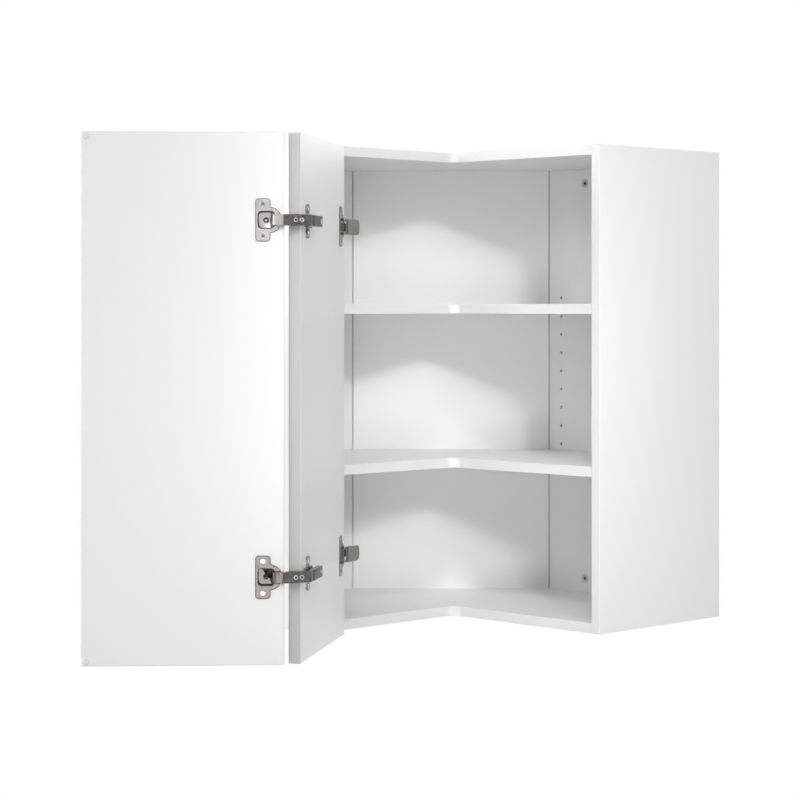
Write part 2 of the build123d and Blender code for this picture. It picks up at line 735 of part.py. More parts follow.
def doors():
    """Every piece that the doors and their hinges bring, turned to where the doors stand open."""
    swing_moves = {"crank": with_crank, "elbow": with_elbow, "elbow_pins": with_elbow,
                   "cup": with_hinged_leaf, "cup_screws": with_hinged_leaf}
    fold_moves = {"link": with_fold_link, "tip_pin": with_fold_link,
                  "cup": with_folding_leaf, "cup_screws": with_folding_leaf}
    nodes = {
        "hinged_door_leaf": with_hinged_leaf([hinged_leaf()]),
        "folding_door_leaf": with_folding_leaf([folding_leaf()]),
        "door_bumpers": with_folding_leaf(bumpers()),
    }
    for name, z in zip(("lower", "upper"), hinge_levels):
        for piece, shapes in swing_hinge(z).items():
            nodes[f"{name}_swing_hinge_{piece}"] = swing_moves.get(piece, stay)(shapes)
        for piece, shapes in fold_hinge(z).items():
            nodes[f"{name}_fold_hinge_{piece}"] = fold_moves.get(piece, with_hinged_leaf)(shapes)
    return nodes


def write(name, solids):
    solids = solids if isinstance(solids, list) else [solids]
    flat = [one for shape in solids for one in shape.solids()]
    export_step(Compound(flat), f"parts/{name}.step")


def main():
    os.makedirs("parts", exist_ok=True)
    nodes = carcass()
    nodes["lower_shelf"] = shelf(lower_shelf_hole)
    nodes["upper_shelf"] = shelf(upper_shelf_hole)
    nodes["lower_shelf_pins"] = shelf_pins(lower_shelf_hole)
    nodes["upper_shelf_pins"] = shelf_pins(upper_shelf_hole)
    nodes.update(doors())
    for name, solids in nodes.items():
        write(name, solids)
    print(len(nodes), "nodes written")


main()
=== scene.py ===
import bpy, json, math
from mathutils import Matrix, Vector


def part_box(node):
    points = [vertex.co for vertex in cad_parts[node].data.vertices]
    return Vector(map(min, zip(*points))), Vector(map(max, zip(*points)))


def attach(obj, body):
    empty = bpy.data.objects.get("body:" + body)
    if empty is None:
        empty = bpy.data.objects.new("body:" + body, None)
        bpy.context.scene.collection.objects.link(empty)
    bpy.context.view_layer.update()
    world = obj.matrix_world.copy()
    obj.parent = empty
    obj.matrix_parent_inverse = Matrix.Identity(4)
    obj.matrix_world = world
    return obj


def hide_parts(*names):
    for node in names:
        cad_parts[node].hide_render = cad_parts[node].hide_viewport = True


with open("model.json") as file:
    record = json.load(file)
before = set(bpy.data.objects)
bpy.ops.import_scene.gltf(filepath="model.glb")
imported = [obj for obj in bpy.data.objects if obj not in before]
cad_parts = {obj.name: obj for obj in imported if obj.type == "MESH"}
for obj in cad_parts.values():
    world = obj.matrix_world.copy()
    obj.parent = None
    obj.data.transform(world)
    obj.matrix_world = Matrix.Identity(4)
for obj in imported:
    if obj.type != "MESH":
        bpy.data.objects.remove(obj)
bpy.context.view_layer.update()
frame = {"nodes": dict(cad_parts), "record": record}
nodes = frame["nodes"]
bodyOf = {node: body for body, members in frame["record"]["behaviour"]["bodies"].items() for node in members}
slotOf = {part["node"]: part["material_slot"] for part in frame["record"]["subparts"]}
upward = Vector((0, 0, 1))
print("frame loaded:", len(nodes), "nodes")


# shared effects, as node groups with named sockets

def newGroup(name, inputs, outputs):
    group = bpy.data.node_groups.new(name, "ShaderNodeTree")
    for label, kind, value in inputs:
        socket = group.interface.new_socket(label, in_out="INPUT", socket_type=kind)
        socket.default_value = value
    for label, kind in outputs:
        group.interface.new_socket(label, in_out="OUTPUT", socket_type=kind)
    return group, group.nodes.new("NodeGroupInput"), group.nodes.new("NodeGroupOutput")


def addNode(tree, kind, settings=None, **values):
    node = tree.nodes.new(kind)
    for label, value in (settings or {}).items():
        setattr(node, label, value)
    for label, value in values.items():
        node.inputs[label.replace("_", " ")].default_value = value
    return node


def fineGrain():  # a mottle and a fine pebble, for board, lacquer and metal alike; faint on the boards, and strong on the arms and mounting plates, where it is painted reflection
    group, start, end = newGroup(
        "fineGrain",
        [("Color", "NodeSocketColor", (0.8, 0.8, 0.8, 1)),
         ("Pebble Scale", "NodeSocketFloat", 1400.0),
         ("Pebble Depth", "NodeSocketFloat", 0.1),
         ("Mottle", "NodeSocketFloat", 0.02),
         ("Mottle Scale", "NodeSocketFloat", 9.0),
         ("Roughness", "NodeSocketFloat", 0.45),
         ("Rough Spread", "NodeSocketFloat", 0.06)],
        [("Color", "NodeSocketColor"), ("Roughness", "NodeSocketFloat"), ("Height", "NodeSocketFloat")])
    link = group.links.new
    place = addNode(group, "ShaderNodeTexCoord")
    cloud = addNode(group, "ShaderNodeTexNoise", Detail=3.0, Roughness=0.55)
    pebble = addNode(group, "ShaderNodeTexNoise", Detail=2.0, Roughness=0.6)
    link(place.outputs["Object"], cloud.inputs["Vector"])
    link(place.outputs["Object"], pebble.inputs["Vector"])
    link(start.outputs["Pebble Scale"], pebble.inputs["Scale"])
    link(start.outputs["Mottle Scale"], cloud.inputs["Scale"])

    centred = addNode(group, "ShaderNodeMath", {"operation": "SUBTRACT"})
    centred.inputs[1].default_value = 0.5
    link(cloud.outputs["Fac"], centred.inputs[0])
    tint = addNode(group, "ShaderNodeMath", {"operation": "MULTIPLY_ADD"})
    tint.inputs[2].default_value = 1.0
    link(centred.outputs[0], tint.inputs[0])
    link(start.outputs["Mottle"], tint.inputs[1])
    scaled = addNode(group, "ShaderNodeVectorMath", {"operation": "SCALE"})
    link(start.outputs["Color"], scaled.inputs[0])
    link(tint.outputs[0], scaled.inputs["Scale"])
    link(scaled.outputs[0], end.inputs["Color"])

    rough = addNode(group, "ShaderNodeMath", {"operation": "MULTIPLY_ADD"})
    link(centred.outputs[0], rough.inputs[0])
    link(start.outputs["Rough Spread"], rough.inputs[1])
    link(start.outputs["Roughness"], rough.inputs[2])
    link(rough.outputs[0], end.inputs["Roughness"])
    height = addNode(group, "ShaderNodeMath", {"operation": "MULTIPLY"})
    link(pebble.outputs["Fac"], height.inputs[0])
    link(start.outputs["Pebble Depth"], height.inputs[1])
    link(height.outputs[0], end.inputs["Height"])
    return group


bandEdge = {"starts": 0.0004, "full": 0.0007}  # depth below a wide face at which the edge's own tone begins


def edgeBand():  # another tone on a board's edges, between the planes of its two wide faces
    group, start, end = newGroup(
        "edgeBand",
        [("Color", "NodeSocketColor", (0.8, 0.8, 0.8, 1)),
         ("Across", "NodeSocketVector", (0, 0, 1)),
         ("Low", "NodeSocketFloat", 0.0),
         ("High", "NodeSocketFloat", 0.016),
         ("Tone", "NodeSocketFloat", 0.9)],
        [("Color", "NodeSocketColor")])
    link = group.links.new
    place = addNode(group, "ShaderNodeTexCoord")
    depth = addNode(group, "ShaderNodeVectorMath", {"operation": "DOT_PRODUCT"})
    link(place.outputs["Object"], depth.inputs[0])
    link(start.outputs["Across"], depth.inputs[1])

    both = addNode(group, "ShaderNodeMath", {"operation": "MULTIPLY"})
    here, low, high = depth.outputs["Value"], start.outputs["Low"], start.outputs["High"]
    for i, (larger, smaller) in enumerate(((here, low), (high, here))):
        gap = addNode(group, "ShaderNodeMath", {"operation": "SUBTRACT"})
        link(larger, gap.inputs[0])
        link(smaller, gap.inputs[1])
        step = addNode(group, "ShaderNodeMapRange")
        step.inputs["From Min"].default_value = bandEdge["starts"]
        step.inputs["From Max"].default_value = bandEdge["full"]
        link(gap.outputs[0], step.inputs["Value"])
        link(step.outputs["Result"], both.inputs[i])

    tone = addNode(group, "ShaderNodeMapRange")
    tone.inputs["To Min"].default_value = 1.0
    link(start.outputs["Tone"], tone.inputs["To Max"])
    link(both.outputs[0], tone.inputs["Value"])
    scaled = addNode(group, "ShaderNodeVectorMath", {"operation": "SCALE"})
    link(start.outputs["Color"], scaled.inputs[0])
    link(tone.outputs["Result"], scaled.inputs["Scale"])
    link(scaled.outputs[0], end.inputs["Color"])
    return group


grainGroup = fineGrain()
bandGroup = edgeBand()


# materials

def wideFaces(node):  # the way that a board's wide faces look, and their depths that way
    planes = {}
    for face in nodes[node].data.polygons:
        normal = tuple(round(v, 3) for v in face.normal)
        planes[normal] = planes.get(normal, 0) + face.area
    oneOfEachPair = (n for n in planes if n >= tuple(-v for v in n))
    across = Vector(max(oneOfEachPair, key=lambda n: planes[n]))
    depths = [across.dot(v.co) for v in nodes[node].data.vertices]
    return across, min(depths), max(depths)


bump = {"strength": 0.25, "distance": 0.0002}
usualMottleScale = 9


def boardMaterial(name, look, node=None):  # with a node, its edges get their own tone
    material = bpy.data.materials.new(name)
    material.use_nodes = True
    tree = material.node_tree
    link = tree.links.new
    shader = tree.nodes["Principled BSDF"]
    grain = addNode(tree, "ShaderNodeGroup", {"node_tree": grainGroup})
    grain.inputs["Color"].default_value = (*look["color"], 1)
    grain.inputs["Pebble Scale"].default_value = look["pebble"]
    grain.inputs["Pebble Depth"].default_value = look["depth"]
    grain.inputs["Mottle"].default_value = look["mottle"]
    grain.inputs["Mottle Scale"].default_value = look.get("mottle scale", usualMottleScale)
    grain.inputs["Roughness"].default_value = look["roughness"]
    color = grain.outputs["Color"]
    if node:
        band = addNode(tree, "ShaderNodeGroup", {"node_tree": bandGroup})
        across, low, high = wideFaces(node)
        band.inputs["Across"].default_value = across
        band.inputs["Low"].default_value = low
        band.inputs["High"].default_value = high
        band.inputs["Tone"].default_value = look["edge"]
        link(color, band.inputs["Color"])
        color = band.outputs["Color"]
    pebbles = addNode(tree, "ShaderNodeBump", Strength=bump["strength"], Distance=bump["distance"])
    link(color, shader.inputs["Base Color"])
    link(grain.outputs["Roughness"], shader.inputs["Roughness"])
    link(grain.outputs["Height"], pebbles.inputs["Height"])
    link(pebbles.outputs["Normal"], shader.inputs["Normal"])
    shader.inputs["Specular IOR Level"].default_value = look["specular"]
    material.diffuse_color = (*look["color"], 1)
    return material


def metalMaterial(name, look):
    material = boardMaterial(name, look)
    material.node_tree.nodes["Principled BSDF"].inputs["Metallic"].default_value = look["metallic"]
    return material


looks = {
    "carcass": {"color": (0.93, 0.93, 0.925), "pebble": 1500, "depth": 0.3, "mottle": 0.012,
                "roughness": 0.42, "specular": 0.4, "edge": 0.88},
    "door": {"color": (0.90, 0.90, 0.897), "pebble": 900, "depth": 0.2, "mottle": 0.010,
             "roughness": 0.36, "specular": 0.45, "edge": 0.60},
    "nickel": {"color": (0.40, 0.385, 0.37), "pebble": 900, "depth": 0.5, "mottle": 0.8, "mottle scale": 160,
               "roughness": 0.34, "specular": 0.5, "metallic": 1.0},
    # a darker copy of the nickel for the lower folding hinge: painted shade
    "nickelPaintedShadeCopy": {"color": (0.17, 0.155, 0.145), "pebble": 900, "depth": 0.5, "mottle": 1.0, "mottle scale": 200,
                   "roughness": 0.30, "specular": 0.5, "metallic": 1.0},
    # the arms and mounting plates: dark, with a strong mottle that is painted reflection
    "arm": {"color": (0.13, 0.12, 0.11), "pebble": 500, "depth": 1.0, "mottle": 3.0, "mottle scale": 330,
            "roughness": 0.26, "specular": 0.5, "metallic": 1.0},
    "chromePaintedReflections": {"color": (0.36, 0.35, 0.34), "pebble": 500, "depth": 1.0, "mottle": 5.0, "mottle scale": 260,
                   "roughness": 0.16, "specular": 0.5, "metallic": 1.0},
    # painted shade, on the pressed rims and on the swing hinges' cranks
    "rim": {"color": (0.07, 0.065, 0.06), "pebble": 900, "depth": 0.5, "mottle": 1.0, "mottle scale": 200,
            "roughness": 0.35, "specular": 0.5, "metallic": 0.8},
    "link": {"color": (0.27, 0.27, 0.24), "pebble": 2600, "depth": 0.3, "mottle": 0.15,
             "roughness": 0.5, "specular": 0.4, "metallic": 0.3},
    "chrome": {"color": (0.62, 0.62, 0.61), "pebble": 900, "depth": 0.3, "mottle": 0.5,
               "roughness": 0.14, "specular": 0.5, "metallic": 1.0},
    # painted shade, in the screws' and cams' cross recesses and on the rings round the dished heads
    "recess": {"color": (0.03, 0.03, 0.03), "pebble": 1800, "depth": 0.3, "mottle": 0.2,
               "roughness": 0.6, "specular": 0.3},
    "zinc": {"color": (0.62, 0.62, 0.60), "pebble": 1800, "depth": 0.5, "mottle": 0.2,
             "roughness": 0.42, "specular": 0.5, "metallic": 0.6},
    "beech": {"color": (0.62, 0.47, 0.30), "pebble": 700, "depth": 0.6, "mottle": 0.3,
              "roughness": 0.6, "specular": 0.3},
    "bumper": {"color": (0.80, 0.81, 0.80), "pebble": 1200, "depth": 0.05, "mottle": 0.02,
               "roughness": 0.15, "specular": 0.5},
}
finishes = {
    "hinge_nickel": metalMaterial("hingeNickel", looks["nickel"]),
    "link_grey": metalMaterial("linkGrey", looks["link"]),
    "screw_chrome": metalMaterial("screwChrome", looks["chrome"]),
    "zinc_cam": metalMaterial("zincCam", looks["zinc"]),
    "bolt_steel": metalMaterial("boltSteel", looks["zinc"]),
    "dowel_wood": boardMaterial("dowelBeech", looks["beech"]),
    "shelf_pin_nickel": metalMaterial("shelfPinNickel", looks["nickel"]),
    "clear_bumper": boardMaterial("clearBumper", looks["bumper"]),
}
armPaintedReflections = metalMaterial("armPaintedReflections", looks["arm"])
rimAndCrankPaintedShade = metalMaterial("pressedRimPaintedShade", looks["rim"])
chromePaintedReflections = metalMaterial("chromePaintedReflections", looks["chromePaintedReflections"])
nickelPaintedShadeCopy = metalMaterial("hingeNickelPaintedShade", looks["nickelPaintedShadeCopy"])
recessShade = boardMaterial("recessShade", looks["recess"])
boardLooks = {"carcass_melamine": "carcass", "shelf_melamine": "carcass", "door_lacquer": "door"}


def finishOf(node, slot):
    if slot in boardLooks:  # each board has its own edge band
        return boardMaterial(node, looks[boardLooks[slot]], node)
    # arms and mounting plates: painted reflections in a dark mottled colour
    if node.endswith("_arm"):
        return armPaintedReflections
    if node.endswith("_mounting_plate"):
        return chromePaintedReflections
    # the crank is painted dark all over, as shade
    if node.endswith("_crank"):
        return rimAndCrankPaintedShade
    # the lower folding hinge's nickel is the darker copy, which is painted shade
    if node.startswith("lower_fold_hinge") and slot == "hinge_nickel":
        return nickelPaintedShadeCopy
    return finishes[slot]


for node, slot in slotOf.items():
    mesh = nodes[node].data
    mesh.materials.clear()
    mesh.materials.append(finishOf(node, slot))
print("materials set")


# the steps that the new pieces share

def selectParts(piece, kind, wanted):  # kind is VERT, EDGE or FACE, and edit mode is left on
    bpy.ops.object.mode_set(mode="EDIT")
    bpy.ops.mesh.select_mode(type=kind)
    bpy.ops.mesh.select_all(action="DESELECT")
    bpy.ops.object.mode_set(mode="OBJECT")
    items = {"VERT": piece.data.vertices, "EDGE": piece.data.edges, "FACE": piece.data.polygons}[kind]
    for item in items:
        item.select = wanted(item)
    bpy.ops.object.mode_set(mode="EDIT")


def turnOutwards(merge=None):  # merge is how close two points of the active piece are made one
    bpy.ops.object.mode_set(mode="EDIT")
    bpy.ops.mesh.select_all(action="SELECT")
    if merge:
        bpy.ops.mesh.remove_doubles(threshold=merge)
    bpy.ops.mesh.normals_make_consistent(inside=False)
    bpy.ops.object.mode_set(mode="OBJECT")


def smoothBy(degrees):
    bpy.ops.object.shade_smooth_by_angle(angle=math.radians(degrees))


def startBox(size, place):
    bpy.ops.object.select_all(action="DESELECT")
    bpy.ops.mesh.primitive_cube_add(size=1, location=place)
    box = bpy.context.object
    box.scale = size
    bpy.ops.object.transform_apply(location=True, rotation=False, scale=True)
    return box


def startCylinder(sides, radius, depth, place):
    bpy.ops.object.select_all(action="DESELECT")
    bpy.ops.mesh.primitive_cylinder_add(vertices=sides, radius=radius, depth=depth, location=place)
    bpy.ops.object.transform_apply(location=True, rotation=False, scale=False)
    return bpy.context.object


def cutAway(piece, cutter):
    cut = piece.modifiers.new("cut", "BOOLEAN")
    cut.operation = "DIFFERENCE"
    cut.object = cutter
    cut.solver = "EXACT"
    bpy.context.view_layer.objects.active = piece
    bpy.ops.object.modifier_apply(modifier="cut")
    bpy.data.objects.remove(cutter)


# screws and cams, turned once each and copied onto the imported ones

crossHeads = {  # deep is how far the recess reaches below the dished face
    "cupScrew": {"head": 0.0038, "height": 0.0013, "round": 0.0003, "rim": 0.0004, "dish": 0.0004,
                 "shank": 0.0020, "length": 0.010, "cross": 0.0038, "groove": 0.0011, "deep": 0.0008,
                 "finish": "screw_chrome", "painted shade ring": True},
    "plateScrew": {"head": 0.00475, "height": 0.0013, "round": 0.0005, "rim": 0.0005, "dish": 0.0003,
                   "shank": 0.0025, "length": 0.012, "cross": 0.0052, "groove": 0.0014, "deep": 0.0008,
                   "finish": "screw_chrome", "painted shade ring": False},
    "armScrew": {"head": 0.0034, "height": 0.0016, "round": 0.0004, "rim": 0.0004, "dish": 0.0003,
                 "shank": 0.0020, "length": 0.0006, "cross": 0.0042, "groove": 0.0012, "deep": 0.0008,
                 "finish": "screw_chrome", "painted shade ring": True},
    "cam": {"head": 0.0075, "height": 0.0120, "round": 0.0004, "rim": 0.0016, "dish": 0.0006,
            "shank": 0.0060, "length": 0.0003, "cross": 0.0062, "groove": 0.0022, "deep": 0.0035,
            "finish": "zinc_cam", "painted shade ring": False},
}
headSides = 36
slack = 0.0001  # for telling which faces lie in a recess


def shadedFace(face, kind):  # painted shade: in the cross recess, or on the ring round a dished face
    x, y, z = face.center
    far, near = max(abs(x), abs(y)), min(abs(x), abs(y))
    inCross = far < kind["cross"] / 2 + slack and near < kind["groove"] / 2 + slack
    if inCross and z < -kind["dish"] - slack / 2:
        return True
    outer = kind["head"] - kind["rim"]
    onRing = outer - kind["dish"] < math.hypot(x, y) < outer and z < -slack / 10
    return kind["painted shade ring"] and onRing and face.normal.z > 0.1


def headedPiece(kind):  # a turned head with a dished face and a cross recess, its top at z = 0
    piece = startCylinder(headSides, kind["head"], kind["height"], (0, 0, -kind["height"] / 2))
    selectParts(piece, "FACE", lambda face: face.normal.z > 0.9)
    bpy.ops.mesh.bevel(offset=kind["round"], segments=3)
    selectParts(piece, "FACE", lambda face: face.normal.z > 0.99 and face.area > kind["head"] ** 2)
    bpy.ops.mesh.inset(thickness=kind["rim"])
    bpy.ops.mesh.inset(thickness=kind["dish"], depth=-kind["dish"])
    selectParts(piece, "FACE", lambda face: face.normal.z < -0.9)
    bpy.ops.mesh.inset(thickness=kind["head"] - kind["shank"])
    bpy.ops.mesh.extrude_region_move(TRANSFORM_OT_translate={"value": (0, 0, -kind["length"])})
    bpy.ops.object.mode_set(mode="OBJECT")
    for size in ((kind["cross"], kind["groove"]), (kind["groove"], kind["cross"])):
        cutAway(piece, startBox((*size, 2 * kind["deep"]), (0, 0, -kind["dish"])))
    turnOutwards(merge=0.000001)
    piece.data.materials.append(finishes[kind["finish"]])
    # the cross recess and the ring round the dish are painted in shade
    piece.data.materials.append(recessShade)
    for face in piece.data.polygons:
        face.material_index = 1 if shadedFace(face, kind) else 0
    return piece


def looseTops(node, facing=None):  # for each loose piece of a node, the middle and way of its widest flat end
    mesh = nodes[node].data
    spots = [tuple(round(c, 5) for c in v.co) for v in mesh.vertices]
    group = {spot: spot for spot in spots}

    def root(spot):
        while group[spot] != spot:
            group[spot] = group[group[spot]]
            spot = group[spot]
        return spot

    for face in mesh.polygons:
        first = root(spots[face.vertices[0]])
        for v in face.vertices[1:]:
            group[root(spots[v])] = first
    ends = {}
    for face in mesh.polygons:
        normal = tuple(round(v, 2) + 0.0 for v in face.normal)
        key = (root(spots[face.vertices[0]]), normal, round(face.normal.dot(face.center), 4))
        area, middle = ends.get(key, (0, Vector()))
        ends[key] = (area + face.area, middle + face.center * face.area)
    found = {}
    for (piece, normal, depth), (area, middle) in ends.items():
        centre = middle / area
        if facing and Vector(normal).dot(facing(centre)) < 0.9:
            continue
        if area > found.get(piece, (0,))[0] * 1.02:  # of two equal ends, the first
            found[piece] = (area, centre, Vector(normal).normalized())
    return [(centre, normal) for area, centre, normal in found.values()]


def setCopies(master, node, name, turn=0.0, sink=0.0, facing=None):
    bpy.ops.object.select_all(action="DESELECT")
    copies = []
    for centre, normal in looseTops(node, facing):
        sideways = upward.cross(normal) if abs(normal.z) < 0.9 else Vector((1, 0, 0))
        sideways.normalize()
        axes = Matrix((sideways, normal.cross(sideways), normal)).transposed()
        turned = axes @ Matrix.Rotation(math.radians(turn), 3, "Z")
        copy = master.copy()
        copy.data = master.data.copy()
        copy.data.transform(Matrix.Translation(centre - normal * sink) @ turned.to_4x4())
        bpy.context.scene.collection.objects.link(copy)
        copy.select_set(True)
        copies.append(copy)
    bpy.context.view_layer.objects.active = copies[0]
    bpy.ops.object.join()
    piece = bpy.context.object
    piece.name = name
    smoothBy(35)
    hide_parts(node)
    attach(piece, bodyOf[node])


masters = {name: headedPiece(kind) for name, kind in crossHeads.items()}
for level in ("lower", "upper"):
    for hinge in ("swing", "fold"):
        start = f"{level}_{hinge}_hinge"
        setCopies(masters["cupScrew"], f"{start}_cup_screws", f"{start}_cup_screw_heads", turn=45, sink=0.0008)
        setCopies(masters["plateScrew"], f"{start}_plate_screws", f"{start}_plate_screw_heads", turn=20)
        setCopies(masters["armScrew"], f"{start}_arm_screws", f"{start}_arm_screw_heads", turn=30)
print("screws placed")


# the hinges' plates, cups and arms: the imported shapes with their pressed edges, whose rims are painted dark as
# shade

# cup, plate and arm are widths of the raised face's rim, which is slope times as wide as it is high;
# flat and ring are cosines, of the worked faces and of the rim's own, and the rim's faces are painted in shade
pressed = {"cup": 0.0010, "plate": 0.0008, "arm": 0.0008,
           "slope": 3, "merge": 0.00001, "flat": 0.995, "least area": 0.000002, "ring": (0.8, 0.98)}


def pressedCopy(node, facing, rim):  # facing are the ways that the worked faces look
    bpy.ops.object.select_all(action="DESELECT")
    piece = nodes[node].copy()
    piece.data = nodes[node].data.copy()
    piece.parent = None
    piece.name = node + "_pressed"
    bpy.context.scene.collection.objects.link(piece)
    bpy.context.view_layer.objects.active = piece
    piece.select_set(True)
    bpy.ops.object.mode_set(mode="EDIT")
    bpy.ops.mesh.select_all(action="SELECT")
    bpy.ops.mesh.remove_doubles(threshold=pressed["merge"])
    bpy.ops.mesh.dissolve_limited(angle_limit=math.radians(1))
    bpy.ops.object.mode_set(mode="OBJECT")
    piece.data.materials.append(rimAndCrankPaintedShade)
    steepest, flattest = pressed["ring"]
    for way in facing:
        selectParts(piece, "FACE", lambda face: face.normal.dot(way) > pressed["flat"]
                    and face.area > pressed["least area"])
        bpy.ops.mesh.inset(thickness=rim, depth=rim / pressed["slope"], use_even_offset=True)
        bpy.ops.mesh.select_all(action="INVERT")
        bpy.ops.object.mode_set(mode="OBJECT")
        # the rim's faces take the painted shade
        for face in piece.data.polygons:
            if face.select and steepest < face.normal.dot(way) < flattest:
                face.material_index = 1
    bpy.ops.object.mode_set(mode="EDIT")
    bpy.ops.mesh.select_all(action="SELECT")
    bpy.ops.mesh.quads_convert_to_tris(quad_method="BEAUTY", ngon_method="BEAUTY")
    bpy.ops.object.mode_set(mode="OBJECT")
    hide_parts(node)
    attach(piece, bodyOf[node])


def inwardFace(leaf):  # the way that an open leaf's inner face looks
    across = wideFaces(leaf)[0]
    return across if across.x > 0 else -across


def awayFromHinge(across, backwards):  # level and along a leaf
    along = across.cross(upward)
    return -along if backwards(along) else along


leafWays = {"hinged": inwardFace("hinged_door_leaf"), "folding": inwardFace("folding_door_leaf")}
panelWay = Vector((0, 1, 0))
edgeWay = awayFromHinge(leafWays["hinged"], lambda way: way.y > 0)  # to the edge beside the folding leaf
webRun = Vector((-24.0, 33.9)).normalized()  # from the nose of the folding hinge's arm, along and out of the leaf
slopeWay = edgeWay * webRun.y - leafWays["hinged"] * webRun.x
for level in ("lower", "upper"):
    start = f"{level}_fold_hinge"
    pressedCopy(f"{start}_cup", [leafWays["folding"]], pressed["cup"])
    pressedCopy(f"{start}_mounting_plate", [leafWays["hinged"]], pressed["plate"])
    pressedCopy(f"{start}_arm", [leafWays["hinged"], slopeWay], pressed["arm"])
    start = f"{level}_swing_hinge"
    pressedCopy(f"{start}_cup", [leafWays["hinged"]], pressed["cup"])
    pressedCopy(f"{start}_mounting_plate", [panelWay], pressed["plate"])
    pressedCopy(f"{start}_arm", [panelWay], pressed["arm"])
print("plates, cups and arms pressed")


# the goose-necked links between the leaves, which go round the folding leaf's edge

bentLink = {  # places in mm: along the folding leaf from its folding edge, and out of its inner face
    "path": [(-9.2, -1.5), (-8.8, 3.0), (-7.0, 6.6), (-4.2, 8.4), (2.4, 8.6), (3.0, 7.9), (4.3, 7.9),
             (4.9, 8.6), (7.0, 8.6), (7.6, 7.9), (8.9, 7.9), (9.5, 8.6), (13.2, 8.5), (15.6, 7.4),
             (17.6, 4.8), (18.6, 1.0), (18.9, -5.0)],
    "widens at": 2.4, "cheeks above": 7.0,
    "narrow": 0.0062, "wide": 0.0076, "sheet": 0.0014, "cheek": 0.0042,
    # each rod's place, radius and half length: the two eyes and the tip's pin
    "rods": [(-6.6, -2.3, 0.0031, 0.0062), (17.0, -6.4, 0.0023, 0.0076), (17.0, -6.4, 0.0014, 0.0116)],
    "rod sides": 28, "rod edge": 0.0003,
}


def sweepBand(at, across, middle):
    # the whole first plate is swept along the path, and not only its far edge,
    # so the band has walls inside it and isn't a clean shell
    bpy.ops.object.select_all(action="DESELECT")
    bpy.ops.mesh.primitive_plane_add(size=1)
    piece = bpy.context.object
    places = [at(*spot) for spot in bentLink["path"]]
    for i, vertex in enumerate(piece.data.vertices):  # two points at each of the first two places
        side = 1 if i % 2 else -1
        vertex.co = places[i // 2] + upward * side * bentLink["narrow"]
    selectParts(piece, "VERT", lambda vertex: True)
    for before, after, spot in zip(places[1:], places[2:], bentLink["path"][2:]):
        bpy.ops.mesh.extrude_edges_move(TRANSFORM_OT_translate={"value": after - before})
        if spot[0] == bentLink["widens at"]:
            bpy.ops.transform.resize(value=(1, 1, bentLink["wide"] / bentLink["narrow"]))
    bpy.ops.object.mode_set(mode="OBJECT")
    top = across.dot(at(0, bentLink["cheeks above"]))

    def upperSide(edge):
        ends = [piece.data.vertices[i].co for i in edge.vertices]
        sameSide = (ends[0].z - middle) * (ends[1].z - middle) > 0
        return sameSide and all(across.dot(end) > top for end in ends)

    selectParts(piece, "EDGE", upperSide)
    bpy.ops.mesh.extrude_edges_move(TRANSFORM_OT_translate={"value": -across * bentLink["cheek"]})
    turnOutwards()
    outside = sum(face.normal.dot(across) * face.area for face in piece.data.polygons)
    wall = piece.modifiers.new("wall", "SOLIDIFY")
    wall.thickness = bentLink["sheet"]
    wall.offset = -1 if outside > 0 else 1
    bpy.ops.object.modifier_apply(modifier="wall")
    return piece


def foldLink(level):
    start = f"{level}_fold_hinge"
    across = leafWays["folding"]
    along = awayFromHinge(across, lambda way: way.x > 0)
    corners = [v.co for v in nodes["folding_door_leaf"].data.vertices]
    corner = along * min(c.dot(along) for c in corners) + across * max(c.dot(across) for c in corners)
    low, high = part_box(f"{start}_link")
    middle = (low[2] + high[2]) / 2

    def at(a, h):
        place = corner + along * a / 1000 + across * h / 1000
        return Vector((place.x, place.y, middle))

    piece = sweepBand(at, across, middle)
    parts = [piece]
    for a, h, radius, half in bentLink["rods"]:
        rod = startCylinder(bentLink["rod sides"], radius, 2 * half, at(a, h))
        selectParts(rod, "FACE", lambda face: abs(face.normal.z) > 0.9)
        bpy.ops.mesh.bevel(offset=bentLink["rod edge"], segments=2)
        bpy.ops.object.mode_set(mode="OBJECT")
        parts.append(rod)
    for part in parts:
        part.select_set(True)
    bpy.context.view_layer.objects.active = piece
    bpy.ops.object.join()
    piece.name = f"{start}_bent_link"
    piece.data.materials.append(nodes[f"{start}_link"].data.materials[0])
    turnOutwards()
    smoothBy(40)
    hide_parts(f"{start}_link", f"{start}_tip_pin")
    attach(piece, bodyOf[f"{start}_link"])


for level in ("lower", "upper"):
    foldLink(level)
print("links bent")


# the smooth covers over the elbows of the hinges beside the end panel

cover = {"back": 0.0065, "thick": 0.0007, "before": 0.0112, "reach": 0.030,  # before and past the knee
         "height": 0.0238, "corner": 0.0085, "corner steps": 8, "soft edge": 0.0002}


